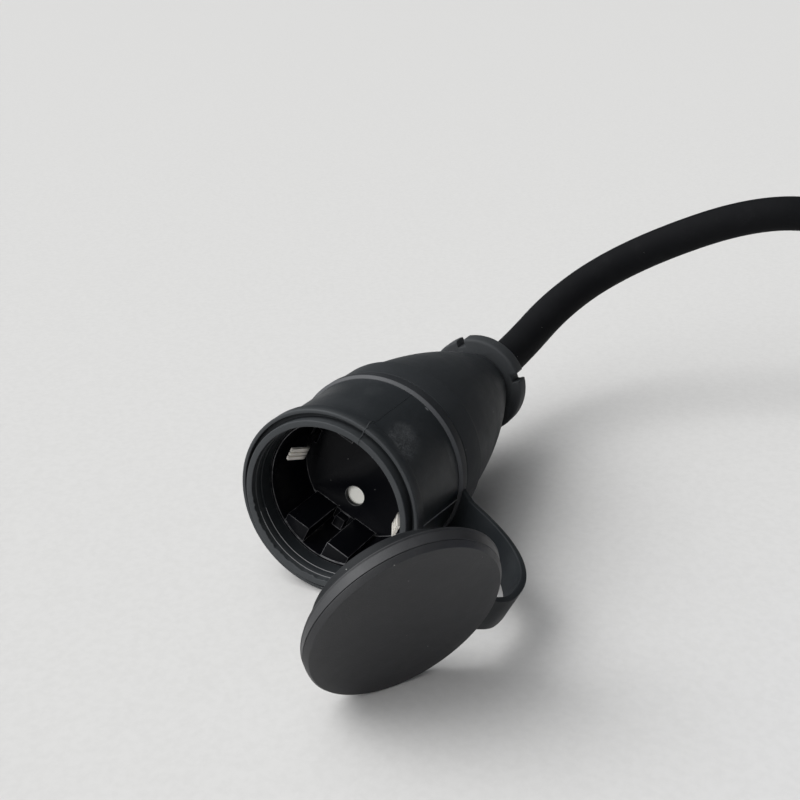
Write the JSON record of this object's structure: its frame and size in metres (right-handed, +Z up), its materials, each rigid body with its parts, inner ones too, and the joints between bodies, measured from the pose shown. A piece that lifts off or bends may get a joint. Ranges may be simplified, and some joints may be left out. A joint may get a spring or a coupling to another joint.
{
  "type": "socket adapter lead",
  "caption": "Black rubber safety-socket coupling with a tethered lid, on a short heavy cable that ends in a blue round-pin camping plug.",
  "frame": {"origin": "middle of the coupling's mouth, on its axis", "axes": "+X out of the mouth along the coupling's axis, +Z up, +Y towards the open lid"},
  "size_m": [0.294, 0.28, 0.0776],
  "materials": {
    "black_rubber": "matte moulded rubber, faintly worn at its edges",
    "strap_rubber": "soft satin rubber",
    "seal_rubber": "soft matte rubber",
    "cable_rubber": "matte rubber sheath",
    "black_plastic": "matte moulded plastic",
    "white_plastic": "plain cream-white plastic",
    "spring_steel": "drawn wire",
    "screw_steel": "zinc plated",
    "contact_brass": "bright brass",
    "earth_nickel": "bright nickel plate",
    "core_brown": "plain insulation",
    "core_blue": "plain insulation",
    "core_green_yellow": "two-coloured insulation",
    "plug_blue": "satin moulded plastic",
    "plug_grey": "matte moulded plastic",
    "pin_nickel": "bright nickel plate"
  },
  "bodies": {
    "coupling": {"front_sleeve": "black_rubber", "contact_carrier": "black_plastic", "shutter_spring": "spring_steel", "terminal_block": "black_plastic", "contact_line": "contact_brass", "contact_neutral": "contact_brass", "earth_bracket": "earth_nickel", "terminal_screws": "screw_steel", "core_line": "core_brown", "core_neutral": "core_blue", "core_earth": "core_green_yellow", "rear_hood": "black_rubber", "gland_nut": "black_rubber", "gland_seal": "seal_rubber", "lid_ring": "strap_rubber", "lid_strap": "strap_rubber", "cable": "cable_rubber", "plug_rear_housing": "plug_blue", "plug_shroud": "plug_blue", "plug_pin_carrier": "plug_grey", "plug_pin_line": "pin_nickel", "plug_pin_neutral": "pin_nickel", "plug_pin_earth": "pin_nickel", "plug_gland_nut": "plug_blue", "plug_gland_seal": "seal_rubber"},
    "lid": {"lid": "strap_rubber"},
    "shutter": {"shutter": "white_plastic"}
  },
  "joints": [
    {"name": "lid_swing", "type": "hinge", "parent": "coupling", "child": "lid", "pos_m": [-0.01481, 0.04818, -0.013], "axis": [0.2628, -0.2815, -0.9229], "range_deg": [0, 61.2], "stiffness_Nm_per_rad": 0.02, "deforming": ["lid_strap"]},
    {"name": "shutter_turn", "type": "hinge", "parent": "coupling", "child": "shutter", "pos_m": [-0.0258, 0, 0], "axis": [1, 0, 0], "range_deg": [0, 48], "stiffness_Nm_per_rad": 0.002, "springref_deg": -17.19}
  ]
}
